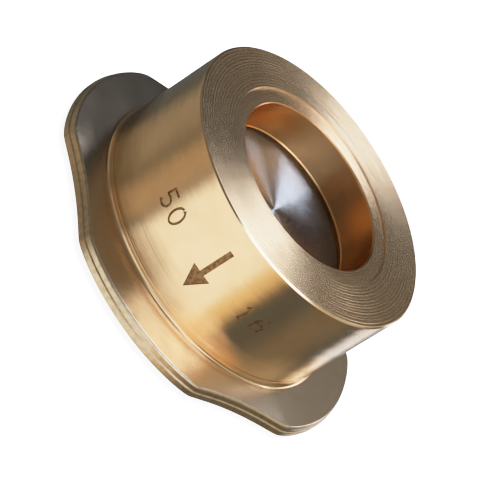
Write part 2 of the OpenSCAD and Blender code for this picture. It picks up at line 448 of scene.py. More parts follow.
@dataclass
class TurnedSection:
    """A closed section that is turned round the axis.

    Attributes:
        corners: The section's corners, in order, with the metal on the left of the way round.
        outlines: Radius of each plan shape at an angle, and the section's radius it stands for.
        arc_steps: Strips in each rounded corner.
        margin: Width of the narrow strip beside each rounded corner, which keeps flats flat.
        groove_depth: Depth of the gasket grooves.
        groove_steps: Strips in each gasket groove.
        soft_share: Greatest share of a side that a rounded corner takes up.
    """

    corners: list[Corner]
    outlines: dict[Outline, tuple[np.ndarray, float]] = field(default_factory=dict)
    arc_steps: int = 3
    margin: float = 0.12
    groove_depth: float = 0.045
    groove_steps: int = 6
    soft_share: float = 0.45

    def path(self) -> tuple[list[np.ndarray], list[Finish]]:
        """Works out the rows of the section.

        Returns:
            A row for each ring of points, and the finish of the strip that follows it.
        """
        rows: list[np.ndarray] = []
        finishes: list[Finish] = []
        points = [corner.row() for corner in self.corners]
        for i, corner in enumerate(self.corners):
            before, here, after = points[i - 1], points[i], points[(i + 1) % len(points)]
            soft = self._rounding(i, points)
            if soft > 0:
                start, end = _towards(here, before, soft), _towards(here, after, soft)
                for step in range(self.arc_steps + 1):
                    t = step / self.arc_steps
                    rows.append((1 - t) ** 2 * start + 2 * t * (1 - t) * here + t * t * end)
                    finishes.append(corner.finish)
            else:
                end = here
                rows.append(here)
                finishes.append(corner.finish)
            self._straight(rows, finishes, corner, end, self._next_start(i, points))
        return rows, finishes

    def _rounding(self, i: int, points: list[np.ndarray]) -> float:
        """How far the rounding of a corner reaches, which the sides that meet there limit.

        Args:
            i: The corner's number.
            points: The row of each corner.

        Returns:
            The distance from the corner, in millimetres.
        """
        before, here, after = points[i - 1], points[i], points[(i + 1) % len(points)]
        return min(self.corners[i].soft, self.soft_share * min(_span(before, here), _span(here, after)))

    def _next_start(self, i: int, points: list[np.ndarray]) -> np.ndarray:
        """The point at which the rounding of the corner after number i starts."""
        after = (i + 1) % len(points)
        return _towards(points[after], points[i], self._rounding(after, points))

    def _straight(
        self, rows: list[np.ndarray], finishes: list[Finish], corner: Corner,
        start: np.ndarray, end: np.ndarray,
    ) -> None:
        """Adds the rows between two corners: a narrow strip at each end, and the cuts or grooves.

        Args:
            rows: The rows so far, which are added to.
            finishes: The finishes so far, which are added to.
            corner: The corner that the straight starts from.
            start: Its first point.
            end: Its last point.
        """
        length = _span(start, end)
        edge = min(self.margin, length / 4) / max(length, TINY)
        shares = [edge + (1 - 2 * edge) * k / corner.cuts for k in range(corner.cuts + 1)]
        depths = [0.0] * len(shares)
        if corner.grooves:
            steps = self.groove_steps * corner.grooves
            shares = [edge + (1 - 2 * edge) * k / steps for k in range(steps + 1)]
            turns = [math.tau * k / self.groove_steps for k in range(steps + 1)]
            depths = [self.groove_depth * (1 - math.cos(turn)) / 2 for turn in turns]
        inward = math.copysign(1.0, end[0] - start[0])
        for share, depth in zip(shares, depths):
            row = start + (end - start) * share
            row[1] += depth * inward
            rows.append(row)
            finishes.append(corner.finish)

    def build(self, name: str) -> bpy.types.Object:
        """Makes the turned piece as one closed mesh.

        Args:
            name: The piece's name.

        Returns:
            The new object.
        """
        rows, finishes = self.path()
        angles = np.arange(TURN_STEPS) * math.tau / TURN_STEPS
        points = np.zeros((len(rows), TURN_STEPS, 3))
        for i, row in enumerate(rows):
            radius = np.full(TURN_STEPS, row[0])
            for kind, (curve, nominal) in self.outlines.items():
                radius = radius + row[kind.value] * (curve - nominal)
            level = np.full(TURN_STEPS, row[1])
            points[i] = np.stack([radius * np.cos(angles), radius * np.sin(angles), level], 1)
        quads, kinds = [], []
        for i, finish in enumerate(finishes):
            here, there = i * TURN_STEPS, (i + 1) % len(rows) * TURN_STEPS
            for j in range(TURN_STEPS):
                k = (j + 1) % TURN_STEPS
                quads.append((here + j, here + k, there + k, there + j))
                kinds.append(finish)
        return mesh_object(name, points.reshape(-1, 3), quads, kinds)


def _span(a: np.ndarray, b: np.ndarray) -> float:
    """Distance between two rows of a section."""
    return float(math.hypot(a[0] - b[0], a[1] - b[1]))


def _towards(a: np.ndarray, b: np.ndarray, distance: float) -> np.ndarray:
    """The row that lies at a distance from a on the way to b."""
    return a + (b - a) * distance / max(_span(a, b), TINY)


def angle_from(centre: float) -> np.ndarray:
    """The angle of each turning step from a centre, in radians, between -pi and pi."""
    angles = np.arange(TURN_STEPS) * math.tau / TURN_STEPS
    return (angles - centre + math.pi) % math.tau - math.pi


def soft_least(a: np.ndarray, b: np.ndarray | float, width: float) -> np.ndarray:
    """The lesser of two curves, with the corner between them rounded over a width."""
    depth = 0.35 * width
    return np.minimum(a, b) - depth * np.exp(-np.abs(a - b) / width)


def tube_faces(rings: int, sides: int) -> list[tuple[int, ...]]:
    """Works out the faces of a closed tube whose points come ring by ring.

    Args:
        rings: Number of rings.
        sides: Number of points in each ring.

    Returns:
        The point numbers of each face, with the two ends last.
    """
    faces: list[tuple[int, ...]] = []
    last = (rings - 1) * sides
    for here in range(0, last, sides):
        for j in range(sides):
            k = (j + 1) % sides
            faces.append((here + j, here + sides + j, here + sides + k, here + k))
    faces.append(tuple(range(sides)))
    faces.append(tuple(range(last, last + sides))[::-1])
    return faces


def mesh_object(
    name: str, points: np.ndarray, faces: list[tuple[int, ...]], finishes: list[Finish] | Finish
) -> bpy.types.Object:
    """Makes a smooth mesh object from points in millimetres.

    Args:
        name: The object's name.
        points: One row of x, y and z for each point.
        faces: The point numbers of each face.
        finishes: A finish for each face, or one for all.

    Returns:
        The new object, linked to the scene.
    """
    mesh = bpy.data.meshes.new(name)
    mesh.from_pydata((points * MM).tolist(), [], faces)
    given = [finishes] * len(faces) if isinstance(finishes, Finish) else finishes
    kinds = list(dict.fromkeys(given))
    for kind in kinds:
        mesh.materials.append(kind.build())
    number = {kind: i for i, kind in enumerate(kinds)}
    mesh.polygons.foreach_set("material_index", [number[kind] for kind in given])
    mesh.validate()
    made = bpy.data.objects.new(name, mesh)
    bpy.context.scene.collection.objects.link(made)
    soften(made)
    return made


def soften(piece: bpy.types.Object, sharp_above: float = 35.0) -> None:
    """Shades a piece smoothly, apart from edges sharper than an angle in degrees."""
    piece.data.polygons.foreach_set("use_smooth", [True] * len(piece.data.polygons))
    piece.data.set_sharp_from_angle(angle=math.radians(sharp_above))


def cut(piece: bpy.types.Object, tool: bpy.types.Object) -> None:
    """Cuts a closed tool out of a piece and removes the tool.

    Args:
        piece: The piece, whose mesh is replaced by the result.
        tool: The closed mesh to cut with.
    """
    change = piece.modifiers.new("cut", "BOOLEAN")
    change.operation = "DIFFERENCE"
    change.object = tool
    change.solver = "MANIFOLD"
    change.material_mode = "TRANSFER"
    graph = bpy.context.evaluated_depsgraph_get()
    result = bpy.data.meshes.new_from_object(piece.evaluated_get(graph))
    piece.modifiers.clear()
    piece.data = result
    bpy.data.objects.remove(tool)
    soften(piece)


def hand_in(piece: bpy.types.Object, node: str, body: str) -> None:
    """Lets a finished piece stand for a CAD node and ride on its body.

    Args:
        piece: The finished piece.
        node: The CAD node that it replaces.
        body: The CAD body that it moves with.
    """
    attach(piece, body)
    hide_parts(node)
    LOG.info("%s stands for %s: %d faces", piece.name, node, len(piece.data.polygons))


# ------------------------------------------------------------- sizes of the frame


@cache
def levels(node: str) -> tuple[float, float]:
    """Lowest and highest level of a CAD node, in millimetres."""
    low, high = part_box(node)
    return low.z / MM, high.z / MM


@cache
def reach(node: str) -> float:
    """How far a CAD node reaches from the axis along X, in millimetres."""
    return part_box(node)[1].x / MM


# ------------------------------------------------------------------------ body


@dataclass
class Engraving:
    """Marks cut into the barrel: the flow arrow and two stamped numbers.

    Attributes:
        barrel_r: Radius of the barrel.
        arrow_l: Length of the arrow.
        arrow_w: Width of its head.
        arrow_tip_w: Half width of its tip.
        arrow_strips: Strips across it.
        arrow_depth: Depth of the arrow.
        stroke_w: Width of a stroke of a number.
        stroke_depth: Depth of a stroke.
        clear: How far a cutter stands out of the barrel.
        digit_h: Height of a digit.
        digit_step: Distance from one digit to the next.
    """

    barrel_r: float
    arrow_l: float = 17.0
    arrow_w: float = 6.5
    arrow_tip_w: float = 0.05
    arrow_strips: int = 6
    arrow_depth: float = 0.3
    stroke_w: float = 0.75
    stroke_depth: float = 0.25
    clear: float = 0.6
    digit_h: float = 5.5
    digit_step: float = 5.2

    def arrow(self, turn: float, level: float) -> bpy.types.Object:
        """Makes the arrow's cutter, pointing down the flow.

        Args:
            turn: Angle of the arrow on the barrel, in radians.
            level: Height of its middle.

        Returns:
            The closed cutter.
        """
        half, head, shaft = self.arrow_l / 2, self.arrow_w / 2, self.arrow_w / 8
        strips = self.arrow_strips
        neck = self.arrow_w - half
        widths = [(half, shaft), (neck, shaft), (neck, head), (-half, self.arrow_tip_w)]
        points, faces = [], []
        for along, wide in widths:
            for depth in (-self.arrow_depth, self.clear):
                for k in range(strips + 1):
                    side = wide * (2 * k / strips - 1)
                    points.append(self.on_barrel(turn, side, level + along, depth))
        ring = list(range(strips + 1)) + list(range(2 * strips + 1, strips, -1))
        size = len(ring)
        for row in range(len(widths) - 1):
            here, there = row * size, (row + 1) * size
            for k in range(size):
                a, b = ring[k], ring[(k + 1) % size]
                faces.append((here + a, here + b, there + b, there + a))
        for k in range(strips):
            faces.append((k, strips + 1 + k, strips + 2 + k, k + 1))
            last = (len(widths) - 1) * size
            faces.append((last + k + 1, last + strips + 2 + k, last + strips + 1 + k, last + k))
        return mesh_object("arrow_tool", np.array(points), faces, ENGRAVED)

    def on_barrel(self, turn: float, side: float, level: float, depth: float) -> tuple[float, float, float]:
        """Wraps a flat place on to the barrel.

        Args:
            turn: Angle of the mark's middle, in radians.
            side: Distance to the side of it, round the barrel.
            level: Height above the outlet face.
            depth: Height above the barrel's surface.

        Returns:
            The point.
        """
        angle = turn + side / self.barrel_r
        radius = self.barrel_r + depth
        return radius * math.cos(angle), radius * math.sin(angle), level

    def digit(self, figure: str) -> list[list[tuple[float, float]]]:
        """The strokes of a digit, in units of its height, about its middle.

        Args:
            figure: One of 0, 1, 5 and 6.

        Returns:
            A list of points for each stroke.
        """
        wide, high, bowl = 0.3, 0.5, 0.29

        def arc(cx: float, cy: float, rx: float, ry: float, start: float, end: float, steps: int) -> list:
            """Points of a round stretch, with angles in degrees."""
            turns = [math.radians(start + (end - start) * k / steps) for k in range(steps + 1)]
            return [(cx + rx * math.cos(t), cy + ry * math.sin(t)) for t in turns]

        shapes = {
            "0": [arc(0, 0, wide, high, 95, 445, 24)],
            "1": [[(-0.16, 0.3), (0.04, high), (0.04, -high)]],
            "5": [[(0.26, high), (-0.2, high), (-0.24, 0.06)] + arc(-0.01, -0.21, bowl, bowl, 120, -140, 14)],
            "6": [arc(0.3, -0.21, 0.58, 0.72, 98, 172, 8) + arc(0.01, -0.21, bowl, bowl, 200, 495, 18)],
        }
        return shapes[figure]

    def number(self, figures: str, turn: float, level: float) -> bpy.types.Object:
        """Makes the cutter of a stamped number.

        Args:
            figures: The digits.
            turn: Angle of its middle on the barrel, in radians.
            level: Height of its middle.

        Returns:
            The cutter, one closed ribbon for each stroke.
        """
        points: list[tuple[float, float, float]] = []
        faces: list[tuple[int, ...]] = []
        for place, figure in enumerate(figures):
            shift = (place - (len(figures) - 1) / 2) * self.digit_step
            for stroke in self.digit(figure):
                line = [Vector((x * self.digit_h + shift, y * self.digit_h)) for x, y in stroke]
                self._ribbon(line, turn, level, points, faces)
        return mesh_object(f"number_{figures}_tool", np.array(points), faces, ENGRAVED)

    def _ribbon(self, line: list[Vector], turn: float, level: float, points: list, faces: list) -> None:
        """Adds a closed ribbon along a line, narrow at the bottom of the cut.

        Args:
            line: The flat points of the stroke.
            turn: Angle of the mark's middle on the barrel.
            level: Height of the mark's middle.
            points: The points so far, which are added to.
            faces: The faces so far, which are added to.
        """
        base = len(points)
        half, foot, mouth = self.stroke_w / 2, 0.5, 1.6
        top, bottom = self.clear - 0.1, -self.stroke_depth
        section = [(-foot, bottom), (foot, bottom), (mouth, top), (-mouth, top)]
        for i, here in enumerate(line):
            way = (line[min(i + 1, len(line) - 1)] - here).normalized()
            back = (here - line[max(i - 1, 0)]).normalized()
            heading = (way + back).normalized()
            across = Vector((-heading.y, heading.x))
            turned = max(heading.dot(way) if i else 1.0, 0.5)
            for share, depth in section:
                spot = here + across * (half * share / turned)
                points.append(self.on_barrel(turn, spot.x, level + spot.y, depth))
        for i in range(len(line) - 1):
            for k in range(4):
                a, b = base + 4 * i + k, base + 4 * i + (k + 1) % 4
                faces.append((a, b, b + 4, a + 4))
        faces.append(tuple(base + k for k in (3, 2, 1, 0)))
        faces.append(tuple(base + 4 * (len(line) - 1) + k for k in range(4)))


@dataclass
class ValveBody:
    """The turned and forged brass body. Sizes are in millimetres, heights above the outlet face.

    Attributes:
        bore_r: Radius of the inlet bore.
        barrel_r: Radius of the barrel.
        chamber_r: Radius of the chamber.
        guide_gap: Clearance between the disc and the guide ribs.
        lip_step: How far the seat's lip stands into the bore, and the height of the step to it.
        bevel: Height and width of the bevel under the lip.
        face_edge: Edge break round the inlet face.
        bore_edge: Edge break at the top of the bore.
        ring_w: Width of the recessed ring between the bore and the inlet face.
        ring_drop: How far that ring lies below the face.
        relief: Height of the relief round the seat.
        shoulder_z: Height of the shoulder under the chamber.
        counterbore_r: Radius below the shoulder.
        groove_r: Radius of the retaining ring's groove.
        outlet_face_r: Outer radius of the outlet face.
        face_raise: Height of the step behind the outlet face.
        flange_z: Height of the flange's front at its rim.
        flange_foot_z: Height of the flange's front at the neck.
        rim_h: Height of the rim's straight part.
        rim_step: Width of the step above it, which is half as high.
        rim_chamfer: Width of each of the rim's last two breaks.
        rim_chamfer_h: Height of the last one.
        neck_fillet: Fillet between flange and barrel.
        neck_band: Height of the plain band between the fillet and the neck's groove.
        groove_w: Width of the neck's groove.
        groove_depth: Depth of the neck's groove.
        waist_r: Radius of the flange's hollow flanks.
        neck_r: Least distance of the flanks from the axis.
        crown_rise: How far a lobe's middle stands out past the CAD node.
        crown_fall: How far a lobe falls away towards its ends.
        flank_soft: Rounding between lobe and flank.
        rib_w: Width of a guide rib.
        rib_flank: Angle over which a rib's side rises, in radians.
        quarter: A quarter turn, in radians.
        arrow_turn: Place of the flow arrow round the barrel, in degrees.
        numbers: Each stamped number and its place round the barrel, in degrees.
    """

    bore_r: float = 24.5
    barrel_r: float = 41.5
    chamber_r: float = 35.5
    guide_gap: float = 0.3
    lip_step: float = 0.3
    bevel: float = 1.2
    face_edge: float = 0.5
    bore_edge: float = 0.3
    ring_w: float = 4.6
    ring_drop: float = 0.5
    relief: float = 1.5
    shoulder_z: float = 6.6
    counterbore_r: float = 37.0
    groove_r: float = 38.5
    outlet_face_r: float = 44.5
    face_raise: float = 1.8
    flange_z: float = 5.8
    flange_foot_z: float = 6.9
    rim_h: float = 2.0
    rim_step: float = 0.4
    rim_chamfer: float = 0.5
    rim_chamfer_h: float = 0.45
    neck_fillet: float = 1.25
    neck_band: float = 0.6
    groove_w: float = 0.7
    groove_depth: float = 0.5
    waist_r: float = 88.0
    neck_r: float = 49.3
    crown_rise: float = 0.5
    crown_fall: float = 1.2
    flank_soft: float = 1.1
    rib_w: float = 5.9
    rib_flank: float = math.radians(0.9)
    quarter: float = math.tau / 4
    arrow_turn: float = -90.0
    numbers: tuple[tuple[str, float], ...] = (("50", -115.0), ("16", -66.0))

    def flange_outline(self) -> np.ndarray:
        """Draws the centring flange: four crowned lobes with hollow flanks between.

        Returns:
            Its radius at each turning step.
        """
        lobe_r = reach("body") + self.crown_rise
        unlimited = lobe_r + 20
        centre = self.neck_r + self.waist_r
        off_lobe = (angle_from(0) + self.quarter / 2) % self.quarter / (self.quarter / 2) - 1
        radius = lobe_r - self.crown_fall * off_lobe**2
        for k in range(4):
            away = angle_from(self.quarter * (k + 0.5))
            inside = np.clip(self.waist_r**2 - (centre * np.sin(away)) ** 2, 0, None)
            hollow = centre * np.cos(away) - np.sqrt(inside)
            flank = np.where(np.abs(away) < self.quarter / 2, hollow, unlimited)
            radius = soft_least(flank, radius, self.flank_soft)
        return np.minimum(radius, lobe_r)

    def rib_outline(self) -> np.ndarray:
        """Draws the chamber, with a guide rib in each quarter.

        Returns:
            Its radius at each turning step.
        """
        guide_r = reach("valve_disc") + self.guide_gap
        half = self.rib_w / (guide_r + self.chamber_r)
        radius = np.full(TURN_STEPS, self.chamber_r)
        for k in range(4):
            away = np.abs(angle_from(self.quarter * (k + 0.5)))
            rise = np.clip((half - away) / self.rib_flank + 0.5, 0, 1)
            radius = radius - (self.chamber_r - guide_r) * rise * rise * (3 - 2 * rise)
        return radius

    def groove_low(self) -> float:
        """Height of the lower edge of the groove round the neck."""
        return self.flange_foot_z + self.neck_fillet + self.neck_band

    def section(self) -> list[Corner]:
        """Draws the body's section.

        Returns:
            Its corners, from the inlet face down the inside and up the outside.
        """
        inlet_z, lobe_r, seat_z = levels("body")[1], reach("body"), levels("valve_disc")[1]
        disc_r = reach("valve_disc")
        ring_low, ring_high = levels("retaining_ring")
        bore_r, barrel_r = self.bore_r, self.barrel_r
        ring_r = bore_r + self.ring_w
        roof_z = seat_z + self.relief
        rim_z = self.face_raise + self.rim_h
        groove_z = self.groove_low()
        flange, ribs = Outline.FLANGE, Outline.RIBS
        return [
            Corner(barrel_r - self.face_edge, inlet_z, FACE, 0.12, grooves=13),
            Corner(ring_r, inlet_z, FACE, 0.12),
            Corner(ring_r, inlet_z - self.ring_drop, FACE, 0.1, cuts=3),
            Corner(bore_r + self.bore_edge, inlet_z - self.ring_drop, BORE, 0.1),
            Corner(bore_r, inlet_z - self.ring_drop - self.bore_edge, BORE, 0.1, cuts=4),
            Corner(bore_r, seat_z + self.bevel + self.lip_step, BORE, 0.05),
            Corner(bore_r - self.lip_step, seat_z + self.bevel, BORE, 0.05),
            Corner(bore_r - self.lip_step + self.bevel, seat_z, BORE, 0.05),
            Corner(disc_r - 0.1, seat_z, CHAMBER, 0.1),
            Corner(disc_r + 0.15, roof_z, CHAMBER, 0.1),
            Corner(self.chamber_r, roof_z, CHAMBER, 0.8, ribs, cuts=6),
            Corner(self.chamber_r, self.shoulder_z, CHAMBER, 0.3, ribs),
            Corner(self.counterbore_r, self.shoulder_z, BORE, 0.1),
            Corner(self.counterbore_r, ring_high + 0.1, BORE, 0.08),
            Corner(self.groove_r, ring_high + 0.1, BORE, 0.08),
            Corner(self.groove_r, ring_low, BORE, 0.08),
            Corner(self.counterbore_r, ring_low, BORE, 0.08),
            Corner(self.counterbore_r, 0, FACE, 0.3, grooves=6),
            Corner(self.outlet_face_r, 0, FACE, 0.25),
            Corner(self.outlet_face_r, self.face_raise, EDGE, 0.3, cuts=4),
            Corner(lobe_r, self.face_raise, EDGE, 0.5, flange),
            Corner(lobe_r, rim_z, EDGE, 0.2, flange),
            Corner(lobe_r - self.rim_step, rim_z + self.rim_step / 2, EDGE, 0.15, flange),
            Corner(lobe_r - self.rim_chamfer, self.flange_z - self.rim_chamfer_h, EDGE, 0.25, flange),
            Corner(lobe_r - 2 * self.rim_chamfer, self.flange_z, FLANGE, 0.15, flange, cuts=6),
            Corner(barrel_r, self.flange_foot_z, BARREL, self.neck_fillet),
            Corner(barrel_r, groove_z, BARREL, 0.12),
            Corner(barrel_r - self.groove_depth, groove_z, BARREL, 0.1),
            Corner(barrel_r - self.groove_depth, groove_z + self.groove_w, BARREL, 0.1),
            Corner(barrel_r, groove_z + self.groove_w, BARREL, 0.15, cuts=20),
            Corner(barrel_r, inlet_z - self.face_edge, BARREL, 0.12),
        ]

    def build(self) -> bpy.types.Object:
        """Turns the body, with its flange and ribs, and engraves the barrel.

        Returns:
            The finished piece.
        """
        outlines = {
            Outline.FLANGE: (self.flange_outline(), reach("body")),
            Outline.RIBS: (self.rib_outline(), self.chamber_r),
        }
        piece = TurnedSection(self.section(), outlines).build("brass_body")
        marks = Engraving(self.barrel_r)
        middle = (self.groove_low() + levels("body")[1]) / 2
        cut(piece, marks.arrow(math.radians(self.arrow_turn), middle))
        for figures, turn in self.numbers:
            cut(piece, marks.number(figures, math.radians(turn), middle))
        return piece

    def dress(self, piece: bpy.types.Object) -> None:
        """Puts the body in the place of its CAD node."""
        hand_in(piece, "body", "housing")


# ----------------------------------------------------------------- inner pieces


@dataclass
class SealingDisc:
    """The turned steel disc that closes the seat. Sizes are in millimetres.

    Attributes:
        boss_r: Radius of the boss behind the disc.
        edge: Edge breaks.
        back_z: Height of the disc's back.
        centre_r: Radius of the centre mark.
        centre_depth: Depth of the centre mark.
        pin_r: Radius of the pinhole along the axis, round which the section is closed.
    """

    boss_r: float = 10.9
    edge: float = 0.3
    back_z: float = 24.3
    centre_r: float = 0.6
    centre_depth: float = 0.35
    pin_r: float = 0.02

    def section(self) -> list[Corner]:
        """Draws the disc's section.

        Returns:
            Its corners, from the rim over the face to the centre mark, the boss and the back.
        """
        low, high = levels("valve_disc")
        disc_r = reach("valve_disc")
        return [
            Corner(disc_r - self.edge, high, DISC, 0.1, cuts=6),
            Corner(self.centre_r, high, DISC, 0.08),
            Corner(self.pin_r, high - self.centre_depth, DISC, 0),
            Corner(self.pin_r, low, DISC, 0, cuts=2),
            Corner(self.boss_r - self.edge, low, DISC, 0.1),
            Corner(self.boss_r, low + self.edge, DISC, 0.1),
            Corner(self.boss_r, self.back_z, DISC, 0.25, cuts=4),
            Corner(disc_r - self.edge, self.back_z, DISC, 0.1),
            Corner(disc_r, self.back_z + self.edge, DISC, 0.1),
            Corner(disc_r, high - self.edge, DISC, 0.1),
        ]

    def build(self) -> bpy.types.Object:
        """Turns the disc."""
        return TurnedSection(self.section()).build("sealing_disc")

    def dress(self, piece: bpy.types.Object) -> None:
        """Puts the disc in the place of its CAD node."""
        hand_in(piece, "valve_disc", "disc")


@dataclass
class ClosingSpring:
    """The coil spring that closes the disc. Sizes are in millimetres.

    Attributes:
        coil_r: Radius of the coils, to the wire's centre.
        wire_d: Thickness of the wire.
        coils: Number of open coils.
        end_coils: Number of closed coils at each end.
        close_pitch: Rise of a closed coil.
        sides: Strips round the wire.
        steps: Strips along each coil.
    """

    coil_r: float = 12.0
    wire_d: float = 1.3
    coils: float = 4.5
    end_coils: float = 1.0
    close_pitch: float = 1.365
    sides: int = 14
    steps: int = 60

    def wire_z(self, turn: float) -> float:
        """Works out how high the wire has climbed.

        Args:
            turn: Number of turns from its lower end.

        Returns:
            Height of its centre.
        """
        low, high = levels("closing_spring")
        bottom, top = low + self.wire_d / 2, high - self.wire_d / 2
        closed = self.end_coils * self.close_pitch
        span = top - bottom - 2 * closed
        if turn < self.end_coils:
            return bottom + self.close_pitch * turn
        if turn > self.end_coils + self.coils:
            return top - self.close_pitch * (self.coils + 2 * self.end_coils - turn)
        return bottom + closed + span * (turn - self.end_coils) / self.coils

    def build(self) -> bpy.types.Object:
        """Winds the wire as a round tube with closed ends.

        Returns:
            The finished piece.
        """
        turns = self.coils + 2 * self.end_coils
        rings = round(turns * self.steps)
        points = []
        for i in range(rings + 1):
            angle = math.tau * i / self.steps
            for j in range(self.sides):
                side = math.tau * j / self.sides
                r = self.coil_r + self.wire_d / 2 * math.cos(side)
                z = self.wire_z(i / self.steps) + self.wire_d / 2 * math.sin(side)
                points.append((r * math.cos(angle), r * math.sin(angle), z))
        return mesh_object("coil_spring", np.array(points), tube_faces(rings + 1, self.sides), WIRE)

    def dress(self, piece: bpy.types.Object) -> None:
        """Puts the spring in the place of its CAD node and gives it a mesh of its own.

        Args:
            piece: The finished spring.
        """
        hand_in(piece, "closing_spring", "housing")
        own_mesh(piece)


@dataclass
class SpringRetainer:
    """The pressed steel cup with four arms. Sizes are in millimetres.

    Attributes:
        sheet_t: Thickness of the sheet.
        dome_r: Radius of the dome that stands inside the spring.
        dome_hole_r: Radius of the hole in the dome.
        cup_r: Radius of the cup that the spring stands in.
        cup_depth: Depth of the cup below the arms.
        rim_r: Radius of the rim between the arms.
        arm_w: Width of an arm.
        arm_r: Reach of an arm.
        tip_soft: Rounding of an arm's tip.
        root_soft: Rounding between arm and rim.
    """

    sheet_t: float = 1.5
    dome_r: float = 10.9
    dome_hole_r: float = 3.5
    cup_r: float = 13.1
    cup_depth: float = 1.9
    rim_r: float = 18.6
    arm_w: float = 9.0
    arm_r: float = 36.7
    tip_soft: float = 0.5
    root_soft: float = 1.2

    def arm_outline(self) -> np.ndarray:
        """Draws the rim, drawn out into an arm in each quarter.

        Returns:
            Its radius at each turning step.
        """
        radius = np.full(TURN_STEPS, self.rim_r)
        for k in range(4):
            away = np.abs(angle_from(math.tau / 4 * (k + 0.5)))
            flank = self.arm_w / 2 / np.maximum(np.sin(np.minimum(away, 1.5)), 1e-3)
            arm = soft_least(flank, self.arm_r, self.tip_soft)
            radius = -soft_least(-radius, -arm, self.root_soft)
        return np.minimum(radius, self.arm_r)

    def section(self) -> list[Corner]:
        """Draws the sheet's section.

        Returns:
            Its corners, from the hole in the dome down to the cup and out to the arms.
        """
        low, high = levels("spring_retainer")
        t = self.sheet_t
        ring_top = levels("retaining_ring")[1]
        arm_top = ring_top + t
        cup_z = arm_top - self.cup_depth
        arms = Outline.ARMS
        return [
            Corner(self.dome_hole_r, high, SHEET, 0.15),
            Corner(self.dome_hole_r, high - t, SHEET, 0.15),
            Corner(self.dome_r - t, high - t, SHEET, 0.5, cuts=2),
            Corner(self.dome_r - t, low, SHEET, 0.8),
            Corner(self.cup_r + t, low, SHEET, 0.6),
            Corner(self.cup_r + t, ring_top, SHEET, 0.4, cuts=5),
            Corner(self.rim_r, ring_top, SHEET, 0.2, arms),
            Corner(self.rim_r, arm_top, SHEET, 0.3, arms, cuts=5),
            Corner(self.cup_r, arm_top, SHEET, 0.7),
            Corner(self.cup_r, cup_z, SHEET, 0.2),
            Corner(self.dome_r, cup_z, SHEET, 0.2, cuts=2),
            Corner(self.dome_r, high, SHEET, 1.2, cuts=2),
        ]

    def build(self) -> bpy.types.Object:
        """Presses the cup and its arms from one sheet."""
        outlines = {Outline.ARMS: (self.arm_outline(), self.rim_r)}
        return TurnedSection(self.section(), outlines).build("pressed_retainer")

    def dress(self, piece: bpy.types.Object) -> None:
        """Puts the retainer in the place of its CAD node."""
        hand_in(piece, "spring_retainer", "housing")


@dataclass
class RetainingRing:
    """The open ring that snaps into the body's groove. Sizes are in millimetres.

    Attributes:
        ring_r: Outer radius.
        ring_w: Width of its section.
        eye_r: Radius of an eye, whose hole is half as wide.
        eye_set: Distance of an eye from the ring's end, as a share of the eye's own half angle.
        open_half: Half of the gap, in radians.
        turn: Place of the gap's middle, in radians.
        edge: Edge breaks.
        steps: Strips round the ring.
        crowding: How much closer the strips lie beside the gap.
    """

    ring_r: float = 38.4
    ring_w: float = 3.9
    eye_r: float = 2.625
    eye_set: float = 0.8
    open_half: float = math.radians(6)
    turn: float = math.radians(67)
    edge: float = 0.2
    steps: int = 360
    crowding: float = 0.12

    def eye_turn(self) -> float:
        """Angle from the middle of the gap to an eye."""
        return self.open_half + self.eye_set * math.asin(self.eye_r / (self.ring_r - self.ring_w))

    def inner(self, angle: float) -> float:
        """Draws the inner edge, with the eyes standing in.

        Args:
            angle: Angle from the middle of the gap, in radians.

        Returns:
            The radius there.
        """
        inner_r = self.ring_r - self.ring_w
        least = inner_r
        for side in (-1, 1):
            away = angle - side * self.eye_turn()
            room = self.eye_r**2 - (inner_r * math.sin(away)) ** 2
            if abs(away) < 0.5 and room > 0:
                least = min(least, inner_r * math.cos(away) - math.sqrt(room))
        return least

    def build(self) -> bpy.types.Object:
        """Sweeps the ring from one end of its gap to the other, and drills the eyes.

        Returns:
            The finished piece.
        """
        low, high = levels("retaining_ring")
        e = self.edge
        points = []
        for i in range(self.steps + 1):
            share = i / self.steps
            near = self.crowding * math.sin(math.tau * share) / math.tau * 4
            angle = self.open_half + (math.tau - 2 * self.open_half) * (share - near)
            bent = (angle + math.pi) % math.tau - math.pi
            r_in, r_out = self.inner(bent), self.ring_r
            section = [
                (r_in, low + e), (r_in + e, low), (r_out - e, low), (r_out, low + e),
                (r_out, high - e), (r_out - e, high), (r_in + e, high), (r_in, high - e),
            ]
            for r, z in section:
                points.append((r * math.cos(angle + self.turn), r * math.sin(angle + self.turn), z))
        faces = tube_faces(self.steps + 1, len(section))
        piece = mesh_object("snap_ring", np.array(points), faces, DARK)
        for side in (-1, 1):
            cut(piece, self.drill(side))
        return piece

    def drill(self, side: int) -> bpy.types.Object:
        """Makes the cutter of one eye's hole.

        Args:
            side: -1 or 1, for the eye on either side of the gap.

        Returns:
            The closed cutter.
        """
        low, high = levels("retaining_ring")
        turn = self.turn + side * self.eye_turn()
        centre = self.ring_r - self.ring_w - self.eye_r / 4
        cosine, sine = math.cos(turn), math.sin(turn)
        sides = 32
        points = []
        for z in (high + 1, low - 1):
            for k in range(sides):
                a = math.tau * k / sides
                x, y = centre + self.eye_r / 2 * math.cos(a), self.eye_r / 2 * math.sin(a)
                points.append((x * cosine - y * sine, x * sine + y * cosine, z))
        return mesh_object("eye_drill", np.array(points), tube_faces(2, sides), DARK)

    def dress(self, piece: bpy.types.Object) -> None:
        """Puts the ring in the place of its CAD node."""
        hand_in(piece, "retaining_ring", "housing")


# ---------------------------------------------------------------------- studio


@dataclass(frozen=True)
class Panel:
    """A soft panel of the studio that shows in the metal. Angles are in degrees.

    Attributes:
        azimuth: Direction of its middle, counter-clockwise from +X.
        half_width: Half of the angle that it takes up.
        edge: Half of the angle over which its sides fade.
        low: Elevation of its lower edge.
        high: Elevation of its upper edge.
        glow: Its light.
    """

    azimuth: float
    half_width: float
    edge: float
    low: float
    high: float
    glow: tuple[float, float, float]


